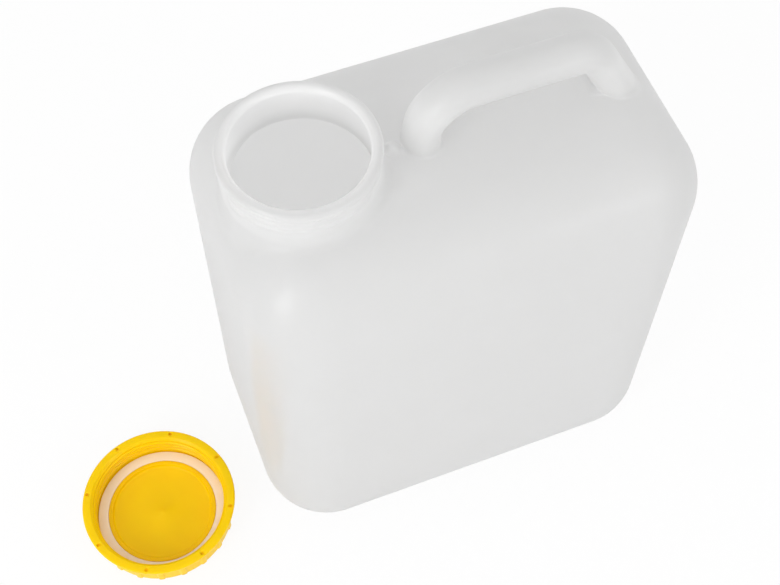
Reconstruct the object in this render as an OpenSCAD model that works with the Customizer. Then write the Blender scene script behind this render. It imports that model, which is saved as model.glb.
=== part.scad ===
// Blow-moulded jerrycan with a wide screw neck and a hollow carrying handle.
// Its screw cap, with the seal ring in it, lies open side up on the floor beside it.
// The origin is the middle of the can's base; +X runs along the can, away from the neck.

/* [Can body] */
// Length of the body
body_l = 295; // [280:5:330]
// Width of the body
body_w = 180; // [165:5:220]
// Height of the flat top above the base
body_h = 334; // [240:2:400]
// Rounding of the four upright corners, seen from above
plan_r = 48; // [48:1:60]
// Rounding of the edges around the top
top_r = 46; // [36:1:48]
// Rounding of the edges around the base
base_r = 48; // [30:1:48]
// Thickness of the blown wall
wall = 2; // [1.6:0.1:3]

/* [Neck] */
// Distance of the neck's axis from the end of the body
neck_inset = 57.5; // [56:0.5:64]
// Outer radius of the neck at the crest of its thread
thread_r = 48; // [44:0.5:50]
// Height of the thread above the wall of the neck
thread_depth = 1.5; // [1:0.1:2]
// Height of the lip above the flat top
neck_h = 29; // [24:0.5:36]
// Width of the sealing lip
lip_w = 7; // [5:0.25:8.5]
// Depth of the lip inside the neck
lip_depth = 4; // [3:0.5:8]
// Rounding of the lip's two edges
lip_round = 1.5; // [0.5:0.1:2]
// Height of the bead around the lip, which stands out as far as the thread
bead_h = 4.5; // [4.25:0.25:6]
// Thickness of the neck's wall below the lip
neck_wall = 3; // [2:0.1:3.5]
// How far the collar at the foot of the neck stands out from the wall of the neck
collar_out = 2.5; // [1.5:0.1:3]
// Height of the collar above the flat top
collar_h = 3; // [1:0.5:5]

/* [Stop lug] */
// How far the lug reaches out from the neck's collar
lug_reach = 12; // [8:0.5:16]
// Width of the lug
lug_w = 7; // [4:0.5:10]
// Height of the lug above the flat top
lug_h = 4.5; // [2:0.5:6]

/* [Handle] */
// Distance from the neck's axis to the middle of the near leg
handle_start = 74.5; // [72:0.5:90]
// Distance of the far leg's middle from the end of the body, at the flat top
handle_inset = 37.5; // [30:0.5:50]
// Height of the middle of the grip above the flat top
handle_rise = 37.4; // [34:0.2:48]
// Width of the grip from front to back
grip_w = 26.6; // [20:0.2:30]
// Thickness of the grip from top to bottom
grip_t = 22.4; // [16:0.2:24]
// Bend radius at the near leg, on the middle line
near_bend = 31; // [24:1:34]
// Bend radius at the far leg, on the middle line
far_bend = 20; // [16:1:30]
// Slope of the far leg below the level
far_slope = 61; // [45:1:80]

/* [Screw cap] */
// Outer radius of the ring around the cap's open end
flange_r = 56.4; // [55:0.2:60]
// Thickness of that ring
flange_t = 3; // [2:0.5:5]
// Rounding of the ring's outer edge
flange_round = 1.2; // [0.5:0.1:1.4]
// Height of the cap
cap_h = 26; // [22:0.5:34]
// Radial gap between the neck's thread and the cap's skirt
cap_gap = 0.8; // [0.5:0.1:1.2]
// Thickness of the cap's skirt
skirt_t = 3.6; // [2.5:0.1:4]
// Width of the lead-in bevel at the open end
lead_in = 2; // [1:0.25:2.5]
// Rounding around the closed end
crown_round = 3; // [1:0.5:4]
// Thickness of the closed end under its recess
crown_t = 2.6; // [2:0.1:4]
// Depth of the recess inside the seal
recess_depth = 3; // [1.5:0.25:4]
// Number of grip ribs around the skirt
rib_n = 20; // [12:1:30]
// How far a grip rib stands out from the skirt
rib_out = 1.3; // [0.8:0.1:2]
// Width of a grip rib
rib_w = 4.4; // [3:0.2:6]
// Number of pin marks on the face of the open end
pip_n = 8; // [4:1:12]
// Radius of a pin mark
pip_r = 0.9; // [0.5:0.1:1.2]
// Depth of a pin mark
pip_depth = 0.8; // [0.4:0.1:1.2]
// Distance of the pin marks from the ring's outer edge
pip_inset = 2.5; // [2:0.1:3.5]

/* [Seal ring] */
// Width of the seal ring
seal_w = 7.4; // [5:0.2:8]
// Thickness of the seal ring
seal_t = 2; // [1.5:0.1:3]
// Clearance of the seal ring from the cap's wall
seal_gap = 0.9; // [0.5:0.1:1.5]
// Clearance of the seal ring from the land inside it
land_gap = 0.2; // [0.1:0.05:0.5]
// Width of the land between the seal ring and the recess
land_w = 3; // [2:0.25:5]

/* [Place of the cap] */
// Distance of the cap's axis from the end of the body, along the can
cap_away = 80.5; // [60:0.5:160]
// Distance of the cap's axis in front of the can's mid-plane
cap_front = 28.6; // [0:0.2:120]
// Turn of the cap about its axis
cap_turn = 19.5; // [0:0.5:360]

/* [Hidden] */
$fn = 96;

can_colour = [0.93, 0.93, 0.91];
cap_colour = [0.98, 0.80, 0.04];
seal_colour = [0.96, 0.82, 0.66];

// Places along the can
neck_x = neck_inset - body_l / 2;
near_leg_x = neck_x + handle_start;
far_foot_x = body_l / 2 - handle_inset;

// Neck
neck_r = thread_r - thread_depth;
lip_r = thread_r - lip_w;
bore_r = neck_r - neck_wall;
bore_taper_h = 4;
// How far the neck reaches down below the flat top, to the foot of the rounded edge
neck_drop = top_r;

// Handle: the far bend ends where its slope begins, and the slope runs down to the foot
slope_x = far_bend * sin(far_slope);
slope_drop = far_bend * (1 - cos(far_slope));
slope_len = (handle_rise - slope_drop) / sin(far_slope);
grip_end_x = far_foot_x - slope_len * cos(far_slope) - slope_x;
grip_start_x = near_leg_x + near_bend;
near_leg_len = handle_rise - near_bend;
// How far the legs reach below the flat top, into the wall
leg_root = 14;
// How much slimmer the straight lengths are than the bends
tuck = 0.05;

// How far a length laps into what it grows from, and how far a cut runs past the face it opens
lap = 1;
over = 1;

// Cap, from the closed end up
skirt_in = thread_r + cap_gap;
skirt_out = skirt_in + skirt_t;
seal_out = skirt_in - seal_gap;
seal_in = seal_out - seal_w;
land_out = seal_in - land_gap;
recess_r = land_out - land_w;
land_h = crown_t + recess_depth;
seal_seat = land_h - seal_t;
cap_x = -body_l / 2 - cap_away;
rib_top = cap_h - flange_t;

// The half section of the body across one of its straight sides: a rectangle
// from the inner side at zero out to reach, with its two outer corners rounded
module side_section(reach, h, upper_r, lower_r) {
    difference() {
        square([reach, h]);
        translate([reach - upper_r, h - upper_r]) corner_cut(upper_r);
        translate([reach - lower_r, lower_r]) mirror([0, 1]) corner_cut(lower_r);
    }
}

module corner_cut(r) {
    difference() {
        square([r + over, r + over]);
        circle(r);
    }
}

// A block with rounded upright corners and rounded edges around its top and base,
// made of four corner posts, four sides and a core that meet face to face
module rounded_block(l, w, h, corner_r, upper_r, lower_r) {
    half_l = l / 2 - corner_r;
    half_w = w / 2 - corner_r;
    translate([-half_l, -half_w, 0]) cube([2 * half_l, 2 * half_w, h]);
    for (side = [0, 180]) rotate([0, 0, side]) {
        translate([half_l, half_w, 0])
            rotate_extrude(angle = 90) side_section(corner_r, h, upper_r, lower_r);
        translate([-half_l, half_w, 0])
            rotate([0, 0, 90]) rotate_extrude(angle = 90) side_section(corner_r, h, upper_r, lower_r);
        translate([half_l, half_w, 0])
            rotate([90, 0, 0]) linear_extrude(2 * half_w) side_section(corner_r, h, upper_r, lower_r);
        translate([-half_l, half_w, 0])
            rotate([90, 0, 90]) linear_extrude(2 * half_l) side_section(corner_r, h, upper_r, lower_r);
    }
}

module body_outside() {
    rounded_block(body_l, body_w, body_h, plan_r, top_r, base_r);
}

module body_inside() {
    translate([0, 0, wall])
        rounded_block(body_l - 2 * wall, body_w - 2 * wall, body_h - 2 * wall,
                      plan_r - wall, top_r - wall, base_r - wall);
}

// The neck reaches down into the rounded end of the body, which the cavity then opens
module neck_outside() {
    translate([neck_x, 0, body_h - neck_drop]) {
        cylinder(h = neck_drop + neck_h - lip_round, r = neck_r);
        translate([0, 0, neck_drop + neck_h - bead_h]) lip_bead();
        translate([0, 0, neck_drop + neck_h - lip_round])
            rotate_extrude() lip_section();
        cylinder(h = neck_drop + collar_h, r = neck_r + collar_out);
    }
}

// The bead around the lip, which slopes out from inside the neck's wall and then runs straight up
module lip_bead() {
    translate([0, 0, -lap]) cylinder(h = lap + thread_depth, r1 = neck_r - lap, r2 = thread_r);
    translate([0, 0, thread_depth]) cylinder(h = bead_h - thread_depth - lip_round, r = thread_r);
}

// The top of the lip, with its outer edge rounded
module lip_section() {
    square([thread_r - lip_round, lip_round]);
    intersection() {
        translate([thread_r - lip_round, 0]) circle(lip_round);
        translate([thread_r - lip_round, 0]) square(lip_round);
    }
}

// The hole down the neck: a rounded mouth, the lip, a taper and the plain bore
module neck_bore() {
    bore_top = neck_drop + neck_h - lip_depth - bore_taper_h;
    translate([neck_x, 0, body_h - neck_drop]) {
        cylinder(h = bore_top, r = bore_r);
        translate([0, 0, bore_top]) cylinder(h = bore_taper_h, r1 = bore_r, r2 = lip_r);
        translate([0, 0, bore_top + bore_taper_h]) cylinder(h = lip_depth + over, r = lip_r);
        translate([0, 0, neck_drop + neck_h - lip_round])
            cylinder(h = lip_round + over, r1 = lip_r, r2 = lip_r + lip_round + over);
    }
}

// A round-ended bar that starts inside the neck's wall
module stop_lug() {
    lug_len = lap + collar_out + lug_reach - lug_w / 2;
    translate([neck_x + neck_r - lap, 0, body_h + lug_h - lug_w / 2]) {
        rotate([0, 90, 0]) cylinder(h = lug_len, d = lug_w);
        translate([lug_len, 0, 0]) sphere(d = lug_w);
    }
}

// The handle's tube with a round section: one leg, two bends, the grip and the sloping
// leg; each straight length is a little slimmer than the bends and laps into them.
// drop is how far the legs go below the flat top
module round_tube(r, drop) {
    slim_r = r - tuck;
    translate([near_leg_x, 0, -drop]) cylinder(h = drop + near_leg_len + lap, r = slim_r);
    translate([grip_start_x, 0, near_leg_len])
        rotate([90, 0, 0]) rotate([0, 0, 90])
        rotate_extrude(angle = 90) translate([near_bend, 0]) circle(r);
    translate([grip_start_x - lap, 0, handle_rise])
        rotate([0, 90, 0]) cylinder(h = grip_end_x - grip_start_x + 2 * lap, r = slim_r);
    translate([grip_end_x, 0, handle_rise - far_bend]) rotate([0, far_slope, 0]) {
        rotate([90, 0, 0]) rotate([0, 0, 90]) rotate_extrude(angle = far_slope)
            translate([far_bend, 0]) circle(r);
        translate([-lap, 0, far_bend])
            rotate([0, 90, 0]) cylinder(h = lap + slope_len + drop / sin(far_slope), r = slim_r);
    }
}

// The same tube made oval; inset makes the hollow inside it
module handle_tube(inset, drop) {
    thin = grip_t / 2 - inset;
    wide = grip_w / 2 - inset;
    translate([0, 0, body_h]) scale([1, wide / thin, 1]) round_tube(thin, drop);
}

module can_body() {
    color(can_colour) difference() {
        union() {
            body_outside();
            neck_outside();
            stop_lug();
            handle_tube(0, leg_root);
        }
        body_inside();
        neck_bore();
        handle_tube(wall, 2 * leg_root);
    }
}

// The cap's half section, from the closed end at the floor up to the open end
module cap_section() {
    difference() {
        union() {
            square([skirt_out, cap_h]);
            translate([0, cap_h - flange_t]) rounded_strip(flange_r, flange_t, flange_round);
        }
        translate([skirt_out - crown_round, crown_round]) mirror([0, 1]) corner_cut(crown_round);
        translate([0, crown_t]) square([recess_r, cap_h]);
        translate([0, land_h]) square([skirt_in, cap_h]);
        translate([land_out, seal_seat]) square([skirt_in - land_out, cap_h]);
        polygon([[skirt_in - over, cap_h - lead_in - over], [skirt_in + lead_in + over, cap_h + over],
                 [skirt_in - over, cap_h + over]]);
    }
}

module rounded_strip(reach, t, r) {
    difference() {
        square([reach, t]);
        translate([reach - r, t - r]) corner_cut(r);
        translate([reach - r, r]) mirror([0, 1]) corner_cut(r);
    }
}

module grip_rib() {
    translate([skirt_out - skirt_t / 2, -rib_w / 2, crown_round])
        cube([skirt_t / 2 + rib_out, rib_w, rib_top - crown_round + flange_round]);
}

module cap_place() {
    translate([cap_x, -cap_front, 0]) rotate([0, 0, cap_turn]) children();
}

module screw_cap() {
    color(cap_colour) cap_place() difference() {
        union() {
            rotate_extrude() cap_section();
            for (i = [0 : rib_n - 1]) rotate([0, 0, i * 360 / rib_n]) grip_rib();
        }
        for (i = [0 : pip_n - 1]) rotate([0, 0, i * 360 / pip_n])
            translate([flange_r - pip_inset, 0, cap_h - pip_depth])
            cylinder(h = pip_depth + over, r = pip_r);
    }
}

module seal_ring() {
    color(seal_colour) cap_place() translate([0, 0, seal_seat])
        rotate_extrude() translate([seal_in, 0]) square([seal_w, seal_t]);
}

can_body();
screw_cap();
seal_ring();
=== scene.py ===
"""A natural white blow-moulded jerrycan and its yellow screw cap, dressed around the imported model.

The can is one blown shell with a wide threaded neck and a hollow carrying handle. Its cap lies
open side up on the floor, with the seal ring in it. Everything is in metres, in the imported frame.
"""

import logging
import math
from dataclasses import dataclass, field
from enum import Enum

import bmesh
import bpy
from mathutils import Matrix, Vector
from mathutils.bvhtree import BVHTree


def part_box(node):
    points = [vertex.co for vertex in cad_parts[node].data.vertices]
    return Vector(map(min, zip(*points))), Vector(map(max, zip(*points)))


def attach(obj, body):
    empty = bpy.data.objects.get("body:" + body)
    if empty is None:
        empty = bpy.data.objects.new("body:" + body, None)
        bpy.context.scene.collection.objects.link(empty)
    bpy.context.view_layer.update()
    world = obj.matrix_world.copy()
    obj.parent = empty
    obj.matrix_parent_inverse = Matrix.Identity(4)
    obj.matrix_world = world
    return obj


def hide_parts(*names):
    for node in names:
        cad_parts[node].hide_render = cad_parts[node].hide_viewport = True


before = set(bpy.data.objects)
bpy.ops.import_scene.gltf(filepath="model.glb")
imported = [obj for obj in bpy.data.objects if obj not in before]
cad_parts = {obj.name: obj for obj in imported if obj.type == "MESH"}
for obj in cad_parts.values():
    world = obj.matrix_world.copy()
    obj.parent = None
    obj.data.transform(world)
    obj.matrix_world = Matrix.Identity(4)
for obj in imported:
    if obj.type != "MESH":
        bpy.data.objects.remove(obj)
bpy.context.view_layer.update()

LOG = logging.getLogger("jerrycan")
UP = Vector((0, 0, 1))
WELD = 1e-6


class Slot(Enum):
    """The record's material slots."""

    CAN = "can_plastic"
    CAP = "cap_plastic"
    SEAL = "seal_foam"


class Node(Enum):
    """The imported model's nodes."""

    CAN = "can_body"
    CAP = "screw_cap"
    SEAL = "seal_ring"


class Change(Enum):
    """How a second solid changes the first."""

    JOIN = "UNION"
    TAKE = "DIFFERENCE"


def smooth(t: float) -> float:
    """Eases a number from 0 to 1, with no kink at either end.

    Args:
        t: Any number; below 0 counts as 0 and above 1 as 1.

    Returns:
        The eased number.
    """
    t = min(max(t, 0.0), 1.0)
    return t * t * (3 - 2 * t)


def arc(centre: tuple[float, float], radius: float, start: float, end: float,
        steps: int) -> list[Vector]:
    """Points along an arc in the XZ plane.

    Args:
        centre: The arc's centre, as X and Z.
        radius: The arc's radius.
        start: The first angle in degrees, from +X towards +Z.
        end: The last angle in degrees.
        steps: The number of segments.

    Returns:
        The points, both ends included.
    """
    turns = [math.radians(start + (end - start) * i / steps) for i in range(steps + 1)]
    return [Vector((centre[0] + radius * math.cos(turn), 0, centre[1] + radius * math.sin(turn)))
            for turn in turns]


def rounded(corners: list[tuple[float, float, float]], steps: int = 4) -> list[Vector]:
    """An outline in the XZ plane with rounded corners.

    Args:
        corners: X, Z and rounding radius of each corner, from the first point to the last.
        steps: The number of segments in each rounding.

    Returns:
        The outline's points.
    """
    points = [Vector((x, 0, z)) for x, z, _ in corners]
    outline = [points[0]]
    for before, here, after, corner in zip(points, points[1:], points[2:], corners[1:]):
        if not corner[2]:
            outline.append(here)
            continue
        back, ahead = (before - here).normalized(), (after - here).normalized()
        half, radius = back.angle(ahead) / 2, corner[2]
        centre = here + (back + ahead).normalized() * radius / math.sin(half)
        first = (here + back * radius / math.tan(half) - centre).normalized()
        last = (here + ahead * radius / math.tan(half) - centre).normalized()
        outline += [centre + radius * first.slerp(last, i / steps) for i in range(steps + 1)]
    return outline + [points[-1]]


def evenly(start: Vector, end: Vector, step: float) -> list[Vector]:
    """Points between two ends, about one step apart, with neither end included."""
    count = max(round((end - start).length / step), 1)
    return [start.lerp(end, i / count) for i in range(1, count)]


def ridge(off: float, crest: float, flank: float) -> float:
    """The height of a rounded ridge, from 0 to 1, at a distance from its middle.

    Args:
        off: The distance from the ridge's middle.
        crest: The width of its top.
        flank: The width of each of its sides.

    Returns:
        The share of the ridge's full height.
    """
    return smooth((crest / 2 + flank - abs(off)) / flank)


def helix_off(height: float, turn: float, pitch: float) -> float:
    """How far a point lies from a right-hand thread's nearest crest, along the axis."""
    phase = height / pitch - turn / (2 * math.pi)
    return (phase - round(phase)) * pitch


def lathe(profile: list[Vector], steps: int, closed: bool = False) -> bmesh.types.BMesh:
    """Spins a profile around the Z axis by an eighth, and doubles that three times.

    Args:
        profile: Points in the XZ plane, with X as the radius.
        steps: The number of segments around, a multiple of eight.
        closed: Whether the last point joins the first.

    Returns:
        The new bmesh.
    """
    bm = bmesh.new()
    verts = [bm.verts.new(point) for point in profile]
    pairs = list(zip(verts, verts[1:])) + ([(verts[-1], verts[0])] if closed else [])
    edges = [bm.edges.new(pair) for pair in pairs]
    angle = math.pi / 4
    bmesh.ops.spin(bm, geom=verts + edges, cent=(0, 0, 0), axis=UP, dvec=(0, 0, 0),
                   angle=angle, steps=steps // 8, use_merge=False)
    for _ in range(3):
        copy = bmesh.ops.duplicate(bm, geom=bm.verts[:] + bm.edges[:] + bm.faces[:])["geom"]
        turned = [g for g in copy if isinstance(g, bmesh.types.BMVert)]
        bmesh.ops.rotate(bm, cent=(0, 0, 0), matrix=Matrix.Rotation(angle, 3, "Z"), verts=turned)
        angle *= 2
    bmesh.ops.remove_doubles(bm, verts=bm.verts, dist=WELD)
    bmesh.ops.recalc_face_normals(bm, faces=bm.faces)
    return bm


def open_rim(bm: bmesh.types.BMesh, height: float = None) -> list[bmesh.types.BMEdge]:
    """The edges around an open end.

    Args:
        bm: The mesh.
        height: Where given, only the open edges at this height count.

    Returns:
        The open edges.
    """
    rim = [e for e in bm.edges if e.is_boundary]
    if height is None:
        return rim
    return [e for e in rim if all(abs(v.co.z - height) < WELD for v in e.verts)]


def extrude_ring(bm: bmesh.types.BMesh, rim: list, step: Vector) -> tuple[list, list]:
    """Extrudes a ring of edges by one step.

    Args:
        bm: The mesh.
        rim: The ring's edges.
        step: How far the new ring lies from the old one.

    Returns:
        The new ring's edges and its vertices.
    """
    made = bmesh.ops.extrude_edge_only(bm, edges=rim)["geom"]
    verts = [g for g in made if isinstance(g, bmesh.types.BMVert)]
    fresh = set(verts)
    edges = [g for g in made if isinstance(g, bmesh.types.BMEdge) and fresh.issuperset(g.verts)]
    bmesh.ops.translate(bm, vec=step, verts=verts)
    return edges, verts


def to_object(bm: bmesh.types.BMesh, name: str) -> bpy.types.Object:
    """Turns a bmesh into a smooth-shaded object at the origin.

    Args:
        bm: The mesh, which is freed.
        name: The object's name.

    Returns:
        The new object.
    """
    bmesh.ops.remove_doubles(bm, verts=bm.verts, dist=WELD)
    bmesh.ops.recalc_face_normals(bm, faces=bm.faces)
    mesh = bpy.data.meshes.new(name)
    bm.to_mesh(mesh)
    bm.free()
    mesh.shade_smooth()
    obj = bpy.data.objects.new(name, mesh)
    bpy.context.scene.collection.objects.link(obj)
    return obj


def combine(body: bpy.types.Object, tool: bpy.types.Object, how: Change) -> None:
    """Joins a closed tool to a closed body or takes it away, and deletes the tool.

    Args:
        body: The object that changes.
        tool: The other object.
        how: Whether the tool is joined or taken away.
    """
    change = body.modifiers.new(how.name, "BOOLEAN")
    change.operation = how.value
    change.solver = "MANIFOLD"
    change.object = tool
    mesh = bpy.data.meshes.new_from_object(body.evaluated_get(bpy.context.evaluated_depsgraph_get()))
    body.modifiers.clear()
    body.data = mesh
    bpy.data.objects.remove(tool)


def input_of(node: bpy.types.Node, name: str, value: object) -> None:
    """Sets one input of a shader node."""
    node.inputs[name].default_value = value


def fine_bump_group() -> bpy.types.ShaderNodeTree:
    """A group that gives a moulded skin its soft waves and its fine grain.

    Returns:
        The group, with the inputs Wave Scale, Wave Depth, Grain Scale and Grain Depth, and the
        outputs Height and Mottle.
    """
    group = bpy.data.node_groups.new("moulded_skin", "ShaderNodeTree")
    make = group.interface.new_socket
    for name, value in (("Wave Scale", 20.0), ("Wave Depth", 0.001),
                        ("Grain Scale", 900.0), ("Grain Depth", 0.0001)):
        socket = make(name, in_out="INPUT", socket_type="NodeSocketFloat")
        socket.default_value = value
    make("Height", in_out="OUTPUT", socket_type="NodeSocketFloat")
    make("Mottle", in_out="OUTPUT", socket_type="NodeSocketFloat")
    nodes, links = group.nodes, group.links
    given, out = nodes.new("NodeGroupInput"), nodes.new("NodeGroupOutput")
    place = nodes.new("ShaderNodeTexCoord")
    heights = []
    for kind, detail in (("Wave", 2.0), ("Grain", 3.0)):
        noise = nodes.new("ShaderNodeTexNoise")
        input_of(noise, "Detail", detail)
        links.new(place.outputs["Object"], noise.inputs["Vector"])
        links.new(given.outputs[kind + " Scale"], noise.inputs["Scale"])
        deep = nodes.new("ShaderNodeMath")
        deep.operation = "MULTIPLY"
        links.new(noise.outputs["Fac"], deep.inputs[0])
        links.new(given.outputs[kind + " Depth"], deep.inputs[1])
        heights.append(deep)
        if kind == "Wave":
            links.new(noise.outputs["Fac"], out.inputs["Mottle"])
    both = nodes.new("ShaderNodeMath")
    links.new(heights[0].outputs[0], both.inputs[0])
    links.new(heights[1].outputs[0], both.inputs[1])
    links.new(both.outputs[0], out.inputs["Height"])
    return group


@dataclass(frozen=True)
class PaintedLightPart:
    """A part of a wall painted whiter: painted light that stands for thicker plastic lit from both sides,
    which the thin-wall shading doesn't give by itself.

    Attributes:
        colour: The whiter colour painted there.
        low: The height at which the whitening starts.
        high: The height at which it has faded again.
        axis_x: Where the upright axis stands that the reach is measured from.
        reach: How far from that axis it goes, or 0 for the whole width.
        fade: The width over which it fades beyond the reach.
        full: The shares of the height between which it is at its whitest.
    """

    colour: tuple[float, float, float]
    low: float
    high: float
    axis_x: float = 0.0
    reach: float = 0.0
    fade: float = 0.0035
    full: tuple[float, float] = (0.2, 0.6)


@dataclass(frozen=True)
class MouldedFinish:
    """A moulded plastic or foam, with its colour, gloss, skin, the light that it lets through and any
    light painted into its colour.
    """

    name: str
    colour: tuple[float, float, float]
    deep_colour: tuple[float, float, float]
    roughness: float
    glow: float
    glow_radius: tuple[float, float, float]
    glow_scale: float
    specular: float
    through: float
    wave_scale: float
    wave_depth: float
    grain_scale: float
    grain_depth: float
    seam: float = 0.0
    seam_w: float = 0.0016
    # Parts of the wall painted whiter: painted light for light through thicker plastic and from both
    # sides.
    painted_light: tuple[PaintedLightPart, ...] = ()

    def material(self, skin: bpy.types.ShaderNodeTree) -> bpy.types.Material:
        """Builds the material.

        Args:
            skin: The node group that gives the skin's height and its mottle.

        Returns:
            The new material.
        """
        made = bpy.data.materials.new(self.name)
        made.use_nodes = True
        nodes, links = made.node_tree.nodes, made.node_tree.links
        shader = nodes["Principled BSDF"]
        input_of(shader, "Roughness", self.roughness)
        input_of(shader, "Specular IOR Level", self.specular)
        shader.subsurface_method = "BURLEY"
        input_of(shader, "Subsurface Weight", self.glow)
        input_of(shader, "Subsurface Radius", self.glow_radius)
        input_of(shader, "Subsurface Scale", self.glow_scale)
        texture = nodes.new("ShaderNodeGroup")
        texture.node_tree = skin
        for label, value in (("Wave Scale", self.wave_scale), ("Wave Depth", self.wave_depth),
                             ("Grain Scale", self.grain_scale), ("Grain Depth", self.grain_depth)):
            input_of(texture, label, value)
        tint = nodes.new("ShaderNodeMix")
        tint.data_type = "RGBA"
        tint.inputs[6].default_value = (*self.colour, 1)
        tint.inputs[7].default_value = (*self.deep_colour, 1)
        links.new(texture.outputs["Mottle"], tint.inputs["Factor"])
        colour = tint.outputs[2]
        # Paint the whiter painted-light parts into the colour.
        for part in self.painted_light:
            colour = self.painted_light_part(nodes, links, colour, part)
        links.new(colour, shader.inputs["Base Color"])
        bump = nodes.new("ShaderNodeBump")
        input_of(bump, "Distance", 1.0)
        height = texture.outputs["Height"]
        if self.seam:
            height = self.parting_line(nodes, links, height)
        links.new(height, bump.inputs["Height"])
        links.new(bump.outputs["Normal"], shader.inputs["Normal"])
        if self.through:
            self.thin_wall(nodes, links, colour)
        return made

    def painted_light_part(self, nodes: bpy.types.Nodes, links: bpy.types.NodeLinks,
                   tint: bpy.types.NodeSocket, part: PaintedLightPart) -> bpy.types.NodeSocket:
        """Paints light into the colour: whitens it over one range of heights, for all or near an upright
        axis only.

        Args:
            nodes: The material's nodes.
            links: The material's links.
            tint: The colour everywhere else.
            part: Where it is whiter, and how white.

        Returns:
            The colour with the painted white part.
        """
        place = nodes.new("ShaderNodeTexCoord")
        split = nodes.new("ShaderNodeSeparateXYZ")
        height = nodes.new("ShaderNodeMapRange")
        share = nodes.new("ShaderNodeValToRGB")
        mix = nodes.new("ShaderNodeMix")
        input_of(height, "From Min", part.low)
        input_of(height, "From Max", part.high)
        share.color_ramp.interpolation = "EASE"
        share.color_ramp.elements[0].color = (0, 0, 0, 1)
        share.color_ramp.elements[1].color = (0, 0, 0, 1)
        for stop in part.full:
            share.color_ramp.elements.new(stop).color = (1, 1, 1, 1)
        mix.data_type = "RGBA"
        mix.inputs[7].default_value = (*part.colour, 1)
        links.new(place.outputs["Object"], split.inputs[0])
        links.new(split.outputs["Z"], height.inputs["Value"])
        links.new(height.outputs["Result"], share.inputs["Fac"])
        amount = share.outputs["Color"]
        if part.reach:
            flat = nodes.new("ShaderNodeVectorMath")
            length = nodes.new("ShaderNodeVectorMath")
            near = nodes.new("ShaderNodeMapRange")
            both = nodes.new("ShaderNodeMath")
            flat.operation = "MULTIPLY_ADD"
            flat.inputs[1].default_value = (1, 1, 0)
            flat.inputs[2].default_value = (-part.axis_x, 0, 0)
            length.operation = "LENGTH"
            input_of(near, "From Min", part.reach + part.fade)
            input_of(near, "From Max", part.reach)
            both.operation = "MULTIPLY"
            links.new(place.outputs["Object"], flat.inputs[0])
            links.new(flat.outputs["Vector"], length.inputs[0])
            links.new(length.outputs["Value"], near.inputs["Value"])
            links.new(near.outputs["Result"], both.inputs[0])
            links.new(amount, both.inputs[1])
            amount = both.outputs[0]
        links.new(amount, mix.inputs["Factor"])
        links.new(tint, mix.inputs[6])
        return mix.outputs[2]

    def parting_line(self, nodes: bpy.types.Nodes, links: bpy.types.NodeLinks,
                     skin: bpy.types.NodeSocket) -> bpy.types.NodeSocket:
        """Adds the faint raised line where the two halves of the mould met, in the plane of X and Z.

        Args:
            nodes: The material's nodes.
            links: The material's links.
            skin: The skin's height without the line.

        Returns:
            The height with the line.
        """
        place = nodes.new("ShaderNodeTexCoord")
        split = nodes.new("ShaderNodeSeparateXYZ")
        off = nodes.new("ShaderNodeMath")
        line = nodes.new("ShaderNodeMapRange")
        both = nodes.new("ShaderNodeMath")
        off.operation = "ABSOLUTE"
        line.interpolation_type = "SMOOTHSTEP"
        input_of(line, "From Max", self.seam_w)
        input_of(line, "To Min", self.seam)
        input_of(line, "To Max", 0.0)
        links.new(place.outputs["Object"], split.inputs[0])
        links.new(split.outputs["Y"], off.inputs[0])
        links.new(off.outputs[0], line.inputs["Value"])
        links.new(skin, both.inputs[0])
        links.new(line.outputs["Result"], both.inputs[1])
        return both.outputs[0]

    def thin_wall(self, nodes: bpy.types.Nodes, links: bpy.types.NodeLinks,
                  tint: bpy.types.NodeSocket) -> None:
        """Lets soft light through a milky wall.

        Light that meets either face scatters back or on through it. The faces are clear from
        within the wall, so that it scatters once on its way through.

        Args:
            nodes: The material's nodes.
            links: The material's links.
            tint: The wall's colour.
        """
        passed = nodes.new("ShaderNodeBsdfTranslucent")
        clear = nodes.new("ShaderNodeBsdfTransparent")
        within = nodes.new("ShaderNodeNewGeometry")
        wall = nodes.new("ShaderNodeMixShader")
        sides = nodes.new("ShaderNodeMixShader")
        wall.inputs[0].default_value = self.through
        links.new(tint, passed.inputs["Color"])
        links.new(nodes["Principled BSDF"].outputs[0], wall.inputs[1])
        links.new(passed.outputs[0], wall.inputs[2])
        links.new(within.outputs["Backfacing"], sides.inputs[0])
        links.new(wall.outputs[0], sides.inputs[1])
        links.new(clear.outputs[0], sides.inputs[2])
        links.new(sides.outputs[0], nodes["Material Output"].inputs["Surface"])


CAN_PLASTIC = MouldedFinish(
    name="natural_polyethylene", colour=(0.815, 0.815, 0.814), deep_colour=(0.797, 0.797, 0.795),
    roughness=0.3, glow=1.0, glow_radius=(1.0, 1.0, 1.0), glow_scale=0.003, specular=0.6, through=0.5,
    wave_scale=22.0, wave_depth=0.0002, grain_scale=1400.0, grain_depth=0.000008, seam=0.000015,
    # Painted light: the wall is painted whiter over the whole width just above the body's top, inside the
    # neck and around the handle, standing for light through thicker plastic and from both sides.
    painted_light=(PaintedLightPart(colour=(0.845, 0.845, 0.843), low=0.3335, high=0.3595),
           PaintedLightPart(colour=(0.915, 0.915, 0.913), low=0.334, high=0.384, axis_x=-0.09, reach=0.0435),
           PaintedLightPart(colour=(0.865, 0.865, 0.863), low=0.335, high=0.376, axis_x=0.035, reach=0.0745)))
CAP_PLASTIC = MouldedFinish(
    name="yellow_polyethylene", colour=(0.955, 0.63, 0.0), deep_colour=(0.925, 0.59, 0.0),
    roughness=0.3, glow=0.5, glow_radius=(1.0, 0.45, 0.05), glow_scale=0.002, specular=0.15, through=0.0,
    wave_scale=60.0, wave_depth=0.00006, grain_scale=2200.0, grain_depth=0.000005)
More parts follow.
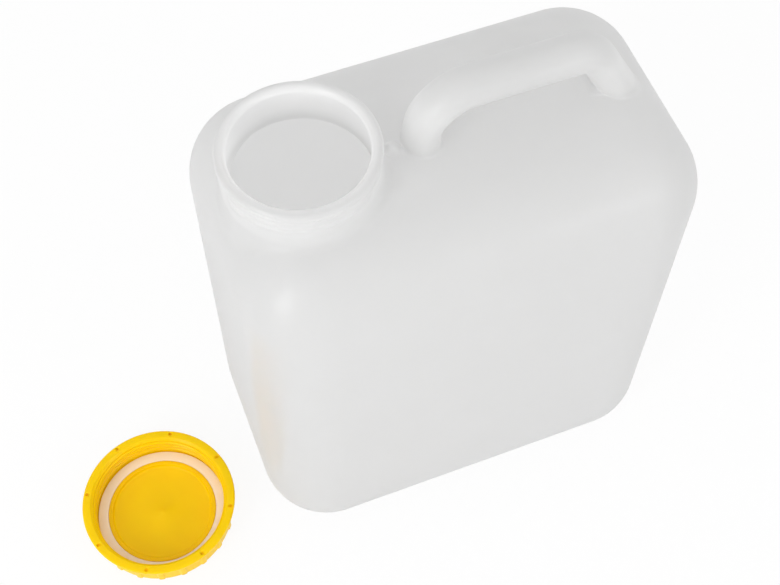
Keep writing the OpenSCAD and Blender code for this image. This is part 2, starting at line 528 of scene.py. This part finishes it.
SEAL_FOAM = MouldedFinish(
    name="cream_foam", colour=(0.98, 0.87, 0.7), deep_colour=(0.95, 0.81, 0.62),
    roughness=0.75, glow=0.3, glow_radius=(1.0, 0.6, 0.35), glow_scale=0.001, specular=0.25, through=0.0,
    wave_scale=160.0, wave_depth=0.00004, grain_scale=3200.0, grain_depth=0.00003)


@dataclass
class BlownCan:
    """The can: one blown shell of body, neck, stop lug and hollow handle."""

    body_l: float = 0.295
    body_w: float = 0.180
    body_h: float = 0.334
    plan_r: float = 0.048
    top_r: float = 0.046
    base_r: float = 0.0475
    wall: float = 0.002
    corner_steps: int = 24
    cell: float = 0.012
    neck_x: float = -0.090
    neck_r: float = 0.0465
    neck_h: float = 0.029
    lip_r: float = 0.041
    bore_r: float = 0.0435
    lip_depth: float = 0.004
    taper_h: float = 0.004
    lip_round: float = 0.0022
    mouth_round: float = 0.003
    bead_h: float = 0.0045
    bead_out: float = 0.0014
    neck_steps: int = 180
    neck_ring: float = 0.0004
    over: float = 0.002
    thread_depth: float = 0.001
    thread_pitch: float = 0.005
    thread_crest: float = 0.0008
    thread_flank: float = 0.002
    thread_low: float = 0.011
    thread_high: float = 0.0228
    thread_fade: float = 0.002
    thread_gap: float = 9.0
    thread_gap_fade: float = 8.0
    neck_foot: tuple[float, float] = (0.0115, 0.008)
    leg_foot: tuple[float, float] = (0.0028, 0.0022)
    foot_sink: float = 0.00003
    root_share: float = 0.7
    look_from: float = 0.02
    lug_off: float = 0.0562
    lug_r: float = 0.0063
    lug_h: float = 0.0046
    lug_root: float = 0.005
    lug_flat: float = 1.15
    lug_long: float = 1.1
    lug_rings: int = 14
    near_leg_x: float = -0.0155
    grip_end_x: float = 0.07749
    handle_rise: float = 0.0374
    grip_w: float = 0.0266
    grip_t: float = 0.0224
    near_bend: float = 0.031
    far_bend: float = 0.020
    far_slope: float = 61.0
    tube_steps: int = 96
    sunk: float = 0.012
    near_hollow: float = 0.02
    far_hollow: float = 0.035

    def block(self, inset: float) -> bmesh.types.BMesh:
        """A block with rounded edges, cut into cells so that it shades evenly.

        Args:
            inset: How far all its sides lie inside the can's outside.

        Returns:
            The new bmesh.
        """
        long, wide, high = self.body_l - 2 * inset, self.body_w - 2 * inset, self.body_h - 2 * inset
        bm = bmesh.new()
        bmesh.ops.create_cube(bm, size=1.0)
        bmesh.ops.scale(bm, vec=(long, wide, high), verts=bm.verts)
        bmesh.ops.translate(bm, vec=(0, 0, self.body_h / 2), verts=bm.verts)
        upright = [e for e in bm.edges if abs(e.verts[0].co.z - e.verts[1].co.z) > WELD]
        self.round_edges(bm, upright, self.plan_r - inset)
        for level, radius in ((self.body_h - inset, self.top_r), (inset, self.base_r)):
            rim = [e for e in bm.edges if all(abs(v.co.z - level) < WELD for v in e.verts)]
            self.round_edges(bm, rim, radius - inset)
        flat = ((0, self.body_l / 2 - self.plan_r), (1, self.body_w / 2 - self.plan_r))
        for axis, half in flat:
            self.slice_along(bm, axis, -half, half)
        self.slice_along(bm, 2, self.base_r, self.body_h - self.top_r)
        return bm

    def round_edges(self, bm: bmesh.types.BMesh, edges: list, radius: float) -> None:
        """Rounds edges with one radius."""
        bmesh.ops.bevel(bm, geom=edges, offset=radius, segments=self.corner_steps, profile=0.5,
                        affect="EDGES", clamp_overlap=False, material=-1)

    def slice_along(self, bm: bmesh.types.BMesh, axis: int, low: float, high: float) -> None:
        """Cuts a mesh across one axis into even cells.

        Args:
            bm: The mesh.
            axis: 0, 1 or 2 for X, Y or Z.
            low: Where the first cell starts.
            high: Where the last cell ends.
        """
        count = max(round((high - low) / self.cell), 2)
        for i in range(1, count):
            place, normal = Vector((0, 0, 0)), Vector((0, 0, 0))
            place[axis] = low + (high - low) * i / count
            normal[axis] = 1
            bmesh.ops.bisect_plane(bm, geom=bm.verts[:] + bm.edges[:] + bm.faces[:], dist=WELD,
                                   plane_co=place, plane_no=normal)

    def spread_foot(self, bm: bmesh.types.BMesh, rim: list, down: Vector, surface: BVHTree,
                    size: tuple[float, float], steps: int = 14) -> None:
        """Carries a tube's open rim down to the body in a fillet that ends flush with it.

        Args:
            bm: The tube's mesh.
            rim: The edges of its open end.
            down: The direction along the tube, towards the body.
            surface: The body's surface.
            size: The fillet's height along the tube and how far it spreads out.
            steps: The number of rings in the fillet.
        """
        step = down * (size[0] / steps)
        rings = []
        for _ in range(steps):
            rim, verts = extrude_ring(bm, rim, step)
            rings.append(verts)
        starts = [v.co - step for v in rings[0]]
        middle = sum(starts, Vector()) / len(starts)
        centre = surface.ray_cast(middle - down * self.look_from, down)[0]
        for number, verts in enumerate(rings, start=1):
            share = number / steps
            for vert in verts:
                top = vert.co - step * number
                hit, normal = surface.ray_cast(top - down * self.look_from, down)[:2]
                side = hit - centre
                side = (side - normal * side.dot(normal)).normalized()
                far, out = surface.find_nearest(hit + side * size[1])[:2]
                end = far - out * self.foot_sink
                vert.co = top * (1 - share) ** 2 + hit * 2 * share * (1 - share) + end * share ** 2
        rim, verts = extrude_ring(bm, rim, -UP * self.sunk)
        bmesh.ops.scale(bm, vec=(self.root_share, self.root_share, 1), verts=verts,
                        space=Matrix.Translation(-middle))
        bmesh.ops.contextual_create(bm, geom=rim)

    def neck(self, surface: BVHTree) -> bpy.types.Object:
        """The neck's outside, with its thread, its rounded lip and its foot."""
        foot, top = self.body_h + self.neck_foot[0], self.body_h + self.neck_h
        run = top - self.lip_round - foot
        count = round(run / self.neck_ring)
        wall = [Vector((self.neck_r, 0, foot + run * i / count)) for i in range(count)]
        lip_r = self.neck_r + self.bead_out - self.lip_round
        lip = arc((lip_r, top - self.lip_round), self.lip_round, 0, 90, 8)
        bm = lathe(wall + lip + [Vector((self.lip_r / 2, 0, top)), Vector((0, 0, top))], self.neck_steps)
        for vert in bm.verts:
            vert.co = self.threaded(vert.co)
        bmesh.ops.translate(bm, vec=(self.neck_x, 0, 0), verts=bm.verts)
        self.spread_foot(bm, open_rim(bm), -UP, surface, self.neck_foot)
        return to_object(bm, "neck")

    def threaded(self, co: Vector) -> Vector:
        """Moves a point of the neck's wall out onto the thread or the bead around the lip.

        Args:
            co: A point of the neck, with the neck's axis at zero.

        Returns:
            The moved point.
        """
        height = co.z - self.body_h
        if height > self.neck_h - self.lip_round - WELD:
            return co
        turn = math.atan2(co.y, co.x)
        crest = ridge(helix_off(height, turn, self.thread_pitch), self.thread_crest, self.thread_flank)
        middle = (self.thread_low + self.thread_high) / 2
        ends = ridge(height - middle, self.thread_high - self.thread_low, self.thread_fade)
        from_seam = math.degrees(min(abs(turn), math.pi - abs(turn)))
        seam = smooth((from_seam - self.thread_gap) / self.thread_gap_fade)
        bead = smooth((height - self.neck_h + self.bead_h) / self.thread_flank)
        out = 1 + max(self.thread_depth * crest * ends * seam, self.bead_out * bead) / self.neck_r
        return Vector((co.x * out, co.y * out, co.z))

    def tube(self, inset: float) -> tuple[bmesh.types.BMesh, Vector]:
        """The handle's tube from the near leg over the grip to the sloping far leg.

        Args:
            inset: How far its wall lies inside the handle's outside.

        Returns:
            The open tube and the direction down the far leg.
        """
        thin, wide = self.grip_t / 2 - inset, self.grip_w / 2 - inset
        slope = math.radians(self.far_slope)
        down = Vector((math.cos(slope), 0, -math.sin(slope)))
        bm = bmesh.new()
        bmesh.ops.create_circle(bm, segments=self.tube_steps, radius=1.0)
        bmesh.ops.scale(bm, vec=(thin, wide, 1), verts=bm.verts)
        bend_z = self.body_h + self.handle_rise - self.near_bend
        bmesh.ops.translate(bm, vec=(self.near_leg_x, 0, bend_z), verts=bm.verts)
        foot = self.body_h + self.leg_foot[0]
        rim = bm.edges[:]
        self.run_rings(bm, rim, Vector((0, 0, foot - bend_z)), 2)
        rim = self.bend(bm, rim, Vector((self.near_leg_x + self.near_bend, 0, bend_z)), 90, 16)
        grip = self.grip_end_x - self.near_leg_x - self.near_bend
        rim = self.run_rings(bm, rim, Vector((grip, 0, 0)), 8)
        far_centre = Vector((self.grip_end_x, 0, self.body_h + self.handle_rise - self.far_bend))
        rim = self.bend(bm, rim, far_centre, self.far_slope, 12)
        middle = far_centre.z + self.far_bend * math.cos(slope)
        run = (middle - self.body_h) / math.sin(slope) - sum(self.leg_foot)
        self.run_rings(bm, rim, down * run, 4)
        return bm, down

    def run_rings(self, bm: bmesh.types.BMesh, rim: list, way: Vector, count: int) -> list:
        """Extrudes a ring straight along a way in even steps, and returns the last ring's edges."""
        for _ in range(count):
            rim, _ = extrude_ring(bm, rim, way / count)
        return rim

    def bend(self, bm: bmesh.types.BMesh, rim: list, centre: Vector, angle: float, steps: int) -> list:
        """Spins a ring around a bend's centre, towards +X and down, and returns the last ring's edges."""
        verts = list({v for e in rim for v in e.verts})
        made = bmesh.ops.spin(bm, geom=rim + verts, cent=centre, axis=(0, 1, 0), dvec=(0, 0, 0),
                              angle=math.radians(angle), steps=steps, use_merge=False)
        return [g for g in made["geom_last"] if isinstance(g, bmesh.types.BMEdge)]

    def handle(self, surface: BVHTree) -> bpy.types.Object:
        """The handle's outside, with both feet spread onto the body."""
        bm, down = self.tube(0.0)
        near = open_rim(bm, self.body_h + self.leg_foot[0])
        self.spread_foot(bm, near, -UP, surface, self.leg_foot)
        self.spread_foot(bm, open_rim(bm), down, surface, self.leg_foot)
        return to_object(bm, "handle")

    def handle_hollow(self) -> bpy.types.Object:
        """The hollow in the handle, which opens into the can."""
        bm, down = self.tube(self.wall)
        near = open_rim(bm, self.body_h + self.leg_foot[0])
        near, _ = extrude_ring(bm, near, -UP * (self.leg_foot[0] + self.near_hollow))
        bmesh.ops.contextual_create(bm, geom=near)
        far, _ = extrude_ring(bm, open_rim(bm), down * self.far_hollow)
        bmesh.ops.contextual_create(bm, geom=far)
        return to_object(bm, "handle_hollow")

    def lug(self) -> bpy.types.Object:
        """The stop lug between the neck and the handle: a small boss that flows into the top."""
        shares = [i / self.lug_rings for i in range(self.lug_rings + 1)]
        swell = [Vector((self.lug_r * share, 0,
                         self.lug_h * smooth((1 - share) * self.lug_flat) - self.foot_sink))
                 for share in shares]
        root = [Vector((self.lug_r, 0, -self.lug_root)), Vector((0, 0, -self.lug_root))]
        bm = lathe(swell + root, 64)
        bmesh.ops.scale(bm, vec=(self.lug_long, 1, 1), verts=bm.verts)
        bmesh.ops.translate(bm, vec=(self.neck_x + self.lug_off, 0, self.body_h), verts=bm.verts)
        return to_object(bm, "lug")

    def bore(self) -> bpy.types.Object:
        """The hole down the neck: a rounded mouth, the lip, a taper and the plain bore."""
        top = self.body_h + self.neck_h
        lip_foot, low = top - self.lip_depth, self.body_h - self.top_r
        mouth = arc((self.lip_r + self.mouth_round, top - self.mouth_round), self.mouth_round,
                    180, 90, 10)
        profile = [Vector((0, 0, low)), Vector((self.bore_r, 0, low)),
                   Vector((self.bore_r, 0, lip_foot - self.taper_h)), Vector((self.lip_r, 0, lip_foot))]
        profile += mouth + [mouth[-1] + UP * self.over, Vector((0, 0, top + self.over))]
        bm = lathe(profile, self.neck_steps)
        bmesh.ops.translate(bm, vec=(self.neck_x, 0, 0), verts=bm.verts)
        return to_object(bm, "bore")

    def build(self) -> bpy.types.Object:
        """Builds the whole shell and shades it smooth.

        Returns:
            The can's object.
        """
        outside = self.block(0.0)
        surface = BVHTree.FromBMesh(outside)
        can = to_object(outside, "can_shell")
        for part in (self.neck(surface), self.handle(surface), self.lug()):
            combine(can, part, Change.JOIN)
        for hollow in (to_object(self.block(self.wall), "inside"), self.bore(), self.handle_hollow()):
            combine(can, hollow, Change.TAKE)
        can.data.shade_smooth()
        return can


@dataclass
class ScrewCap:
    """The screw cap, open side up: closed end, seal groove, threaded skirt, grip ribs and flange."""

    flange_t: float = 0.003
    flange_round: float = 0.0012
    skirt_in: float = 0.0488
    skirt_t: float = 0.0036
    lead_in: float = 0.002
    crown_round: float = 0.003
    crown_t: float = 0.0026
    land_h: float = 0.0056
    seal_seat: float = 0.0036
    foot_w: float = 0.0009
    foot_h: float = 0.0015
    land_out: float = 0.0403
    land_w: float = 0.003
    recess_round: float = 0.0022
    edge: float = 0.0003
    wall_ring: float = 0.0003
    rib_ring: float = 0.001
    thread_depth: float = 0.0013
    thread_pitch: float = 0.005
    thread_crest: float = 0.0009
    thread_flank: float = 0.0013
    thread_low: float = 0.0095
    thread_high: float = 0.0215
    ribs: int = 20
    rib_out: float = 0.0013
    rib_w: float = 0.0036
    rib_flank: float = 0.0008
    pips: int = 8
    pip_r: float = 0.0013
    pip_depth: float = 0.0018
    pip_flare: float = 1.15
    pip_inset: float = 0.0025
    gate_r: float = 0.0016
    gate_h: float = 0.0003
    gate_top: float = 0.8
    turn: float = 19.5
    steps: int = 480

    def __post_init__(self) -> None:
        """Takes the cap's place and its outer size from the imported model."""
        low, high = (Vector(corner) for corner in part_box(Node.CAP.value))
        self.centre = Vector(((low.x + high.x) / 2, (low.y + high.y) / 2, low.z))
        self.flange_r = (high.x - low.x) / 2
        self.height = high.z - low.z
        self.skirt_out = self.skirt_in + self.skirt_t

    def profile(self) -> list[Vector]:
        """The cap's half section, from the middle underneath to the middle of the recess."""
        flange_z, top, edge = self.height - self.flange_t, self.height, self.edge
        land_in, foot = self.land_out - self.land_w, self.seal_seat + self.foot_h
        outside = rounded([(0, 0, 0),
                           (self.skirt_out, 0, self.crown_round),
                           (self.skirt_out, flange_z, edge),
                           (self.flange_r, flange_z, self.flange_round),
                           (self.flange_r, top, self.flange_round),
                           (self.skirt_in + self.lead_in, top, edge),
                           (self.skirt_in, top - self.lead_in, edge),
                           (self.skirt_in, foot, 0)])
        inside = rounded([(self.skirt_in, foot, 0),
                          (self.skirt_in - self.foot_w, self.seal_seat, 0),
                          (self.land_out, self.seal_seat, 0),
                          (self.land_out, self.land_h, edge),
                          (land_in, self.land_h, edge),
                          (land_in, self.crown_t, self.recess_round),
                          (0, self.crown_t, 0)])
        rib_side = evenly(outside[5], outside[6], self.rib_ring)
        wall = evenly(outside[-2], inside[0], self.wall_ring)
        gate_z = self.crown_t + self.gate_h
        gate = [Vector((self.gate_r, 0, self.crown_t)),
                Vector((self.gate_r * self.gate_top, 0, gate_z)),
                Vector((0, 0, gate_z))]
        return outside[:6] + rib_side + outside[6:-1] + wall + inside[:-1] + gate

    def shaped(self, co: Vector) -> Vector:
        """Moves a point of the skirt out onto a grip rib or in onto the thread.

        Args:
            co: A point of the cap, with the cap's axis at zero.

        Returns:
            The moved point.
        """
        radius, turn = co.xy.length, math.atan2(co.y, co.x)
        out = 0.0
        if abs(radius - self.skirt_out) < WELD:
            off = (turn * self.ribs / (2 * math.pi) + 0.5) % 1 - 0.5
            side = ridge(off * 2 * math.pi * radius / self.ribs, self.rib_w, self.rib_flank)
            out = self.rib_out * side * smooth((co.z - self.crown_round) / self.rib_ring)
        elif abs(radius - self.skirt_in) < WELD:
            middle = (self.thread_low + self.thread_high) / 2
            ends = ridge(co.z - middle, self.thread_high - self.thread_low, self.thread_flank)
            off = helix_off(co.z, turn, self.thread_pitch)
            out = -self.thread_depth * ends * ridge(off, self.thread_crest, self.thread_flank)
        share = 1 + out / radius if radius else 1
        return Vector((co.x * share, co.y * share, co.z))

    def pins(self) -> bpy.types.Object:
        """The pin marks in the face of the open end."""
        bm = bmesh.new()
        first = Vector((self.flange_r - self.pip_inset, 0, self.height))
        for i in range(self.pips):
            spot = Matrix.Rotation(2 * math.pi * i / self.pips, 4, "Z") @ first
            bmesh.ops.create_cone(bm, cap_ends=True, segments=16, radius1=self.pip_r,
                                  radius2=self.pip_r * self.pip_flare, depth=2 * self.pip_depth,
                                  matrix=Matrix.Translation(spot))
        return to_object(bm, "pins")

    def build(self) -> bpy.types.Object:
        """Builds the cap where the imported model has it.

        Returns:
            The cap's object.
        """
        bm = lathe(self.profile(), self.steps)
        for vert in bm.verts:
            vert.co = self.shaped(vert.co)
        cap = to_object(bm, "cap_shell")
        combine(cap, self.pins(), Change.TAKE)
        turned = Matrix.Rotation(math.radians(self.turn), 4, "Z")
        cap.data.transform(Matrix.Translation(self.centre) @ turned)
        cap.data.shade_smooth()
        return cap


@dataclass
class SealRing:
    """The flat foamed ring in the cap's groove."""

    inner_r: float = 0.0405
    edge: float = 0.0004
    steps: int = 240

    def build(self) -> bpy.types.Object:
        """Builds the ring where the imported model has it.

        Returns:
            The ring's object.
        """
        low, high = (Vector(corner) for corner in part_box(Node.SEAL.value))
        outer_r, edge = (high.x - low.x) / 2, self.edge
        middle = (self.inner_r + outer_r) / 2
        section = rounded([(middle, low.z, 0), (outer_r, low.z, edge), (outer_r, high.z, edge),
                           (self.inner_r, high.z, edge), (self.inner_r, low.z, edge), (middle, low.z, 0)])
        bm = lathe(section[:-1], self.steps, closed=True)
        bmesh.ops.translate(bm, vec=((low.x + high.x) / 2, (low.y + high.y) / 2, 0), verts=bm.verts)
        return to_object(bm, "seal")


@dataclass(frozen=True)
class Softbox:
    """A soft oval light, with its place, its width and height, and its power in watts."""

    name: str
    place: tuple[float, float, float]
    size: tuple[float, float]
    power: float


@dataclass
class Studio:
    """The white floor, the soft lights and the camera."""

    eye: Vector = field(default_factory=lambda: Vector((-0.2078, -0.43953, 0.97768)))
    heading: float = -21.581
    tilt: float = 59.735
    roll: float = 0.668
    lens: float = 62.855
    floor_size: float = 6.0
    shadow_share: float = 0.1
    towards_key: tuple[float, float, float] = (-0.45, -0.85, 0.28)
    dim: float = 0.71
    bright: float = 0.94
    aim: tuple[float, float, float] = (-0.05, 0.0, 0.2)
    lights: tuple[Softbox, ...] = (
        Softbox("key_softbox", (-1.53, -0.9, 1.02), (0.65, 1.15), 10.0),
        Softbox("front_softbox", (0.98, -1.52, 1.1), (0.8, 0.45), 3.4))

    def camera(self) -> None:
        """Puts the camera where the photograph was taken from."""
        data = bpy.data.cameras.new("camera")
        data.lens = self.lens
        data.sensor_width = 36.0
        data.clip_start = 0.01
        camera = bpy.data.objects.new("camera", data)
        bpy.context.scene.collection.objects.link(camera)
        turn = (Matrix.Rotation(math.radians(self.heading), 4, "Z")
                @ Matrix.Rotation(math.radians(90 - self.tilt), 4, "X")
                @ Matrix.Rotation(math.radians(self.roll), 4, "Z"))
        camera.matrix_world = Matrix.Translation(self.eye) @ turn
        bpy.context.scene.camera = camera

    def soft_light(self, box: Softbox) -> None:
        """Hangs one soft light that looks at the can."""
        data = bpy.data.lights.new(box.name, "AREA")
        data.shape = "ELLIPSE"
        data.size, data.size_y = box.size
        data.energy = box.power
        light = bpy.data.objects.new(box.name, data)
        light.location = box.place
        towards = Vector(self.aim) - Vector(box.place)
        light.rotation_euler = towards.to_track_quat("-Z", "Y").to_euler()
        bpy.context.scene.collection.objects.link(light)

    def seen_white(self, nodes: bpy.types.Nodes, links: bpy.types.NodeLinks, lit: bpy.types.NodeSocket,
                   share: float) -> bpy.types.NodeSocket:
        """Mixes a shader with plain white where a camera, gloss or glass ray meets it.

        Args:
            nodes: The tree's nodes.
            links: The tree's links.
            lit: The shader that all other rays meet.
            share: How much white the seen surface has.

        Returns:
            The mixed shader's socket.
        """
        path = nodes.new("ShaderNodeLightPath")
        seen = path.outputs["Is Camera Ray"]
        for name in ("Is Glossy Ray", "Is Transmission Ray"):
            either = nodes.new("ShaderNodeMath")
            either.operation = "MAXIMUM"
            links.new(seen, either.inputs[0])
            links.new(path.outputs[name], either.inputs[1])
            seen = either.outputs[0]
        part = nodes.new("ShaderNodeMath")
        part.operation = "MULTIPLY"
        links.new(seen, part.inputs[0])
        part.inputs[1].default_value = share
        white = nodes.new("ShaderNodeEmission" if nodes.get("Principled BSDF") else "ShaderNodeBackground")
        input_of(white, "Color", (1, 1, 1, 1))
        mix = nodes.new("ShaderNodeMixShader")
        links.new(part.outputs[0], mix.inputs[0])
        links.new(lit, mix.inputs[1])
        links.new(white.outputs[0], mix.inputs[2])
        return mix.outputs[0]

    def floor(self) -> None:
        """Lays the white floor, which keeps a faint shadow."""
        bm = bmesh.new()
        bmesh.ops.create_grid(bm, x_segments=1, y_segments=1, size=self.floor_size / 2)
        floor = to_object(bm, "floor")
        material = bpy.data.materials.new("white_floor")
        material.use_nodes = True
        nodes, links = material.node_tree.nodes, material.node_tree.links
        shader = nodes["Principled BSDF"]
        input_of(shader, "Base Color", (0.96, 0.96, 0.96, 1))
        input_of(shader, "Roughness", 0.8)
        seen = self.seen_white(nodes, links, shader.outputs[0], 1 - self.shadow_share)
        links.new(seen, nodes["Material Output"].inputs["Surface"])
        floor.data.materials.append(material)

    def world(self) -> None:
        """Fills the room with a pale light, a little brighter on the key light's side, seen as white."""
        world = bpy.data.worlds.new("room")
        bpy.context.scene.world = world
        world.use_nodes = True
        nodes, links = world.node_tree.nodes, world.node_tree.links
        room = nodes["Background"]
        input_of(room, "Color", (1, 1, 1, 1))
        direction = nodes.new("ShaderNodeTexCoord")
        side = nodes.new("ShaderNodeVectorMath")
        side.operation = "DOT_PRODUCT"
        side.inputs[1].default_value = self.towards_key
        fade = nodes.new("ShaderNodeMapRange")
        input_of(fade, "From Min", -1.0)
        input_of(fade, "To Min", self.dim)
        input_of(fade, "To Max", self.bright)
        links.new(direction.outputs["Generated"], side.inputs[0])
        links.new(side.outputs["Value"], fade.inputs["Value"])
        links.new(fade.outputs["Result"], room.inputs["Strength"])
        seen = self.seen_white(nodes, links, room.outputs[0], 1.0)
        links.new(seen, nodes["World Output"].inputs["Surface"])

    def build(self) -> None:
        """Sets up the view, the room and the lights."""
        bpy.context.scene.view_settings.view_transform = "Standard"
        self.camera()
        self.floor()
        self.world()
        for box in self.lights:
            self.soft_light(box)


def main() -> None:
    """Builds the studio, the can, the cap and the seal, and reports each piece."""
    logging.basicConfig(level=logging.INFO, format="%(name)s: %(message)s")
    Studio().build()
    skin = fine_bump_group()
    for maker, node, slot, finish in ((BlownCan(), Node.CAN, Slot.CAN, CAN_PLASTIC),
                                      (ScrewCap(), Node.CAP, Slot.CAP, CAP_PLASTIC),
                                      (SealRing(), Node.SEAL, Slot.SEAL, SEAL_FOAM)):
        piece = maker.build()
        piece.data.materials.clear()
        piece.data.materials.append(finish.material(skin))
        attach(piece, "root")
        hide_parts(node.value)
        LOG.info("%s has %d faces", piece.name, len(piece.data.polygons))


if __name__ == "__main__":
    main()
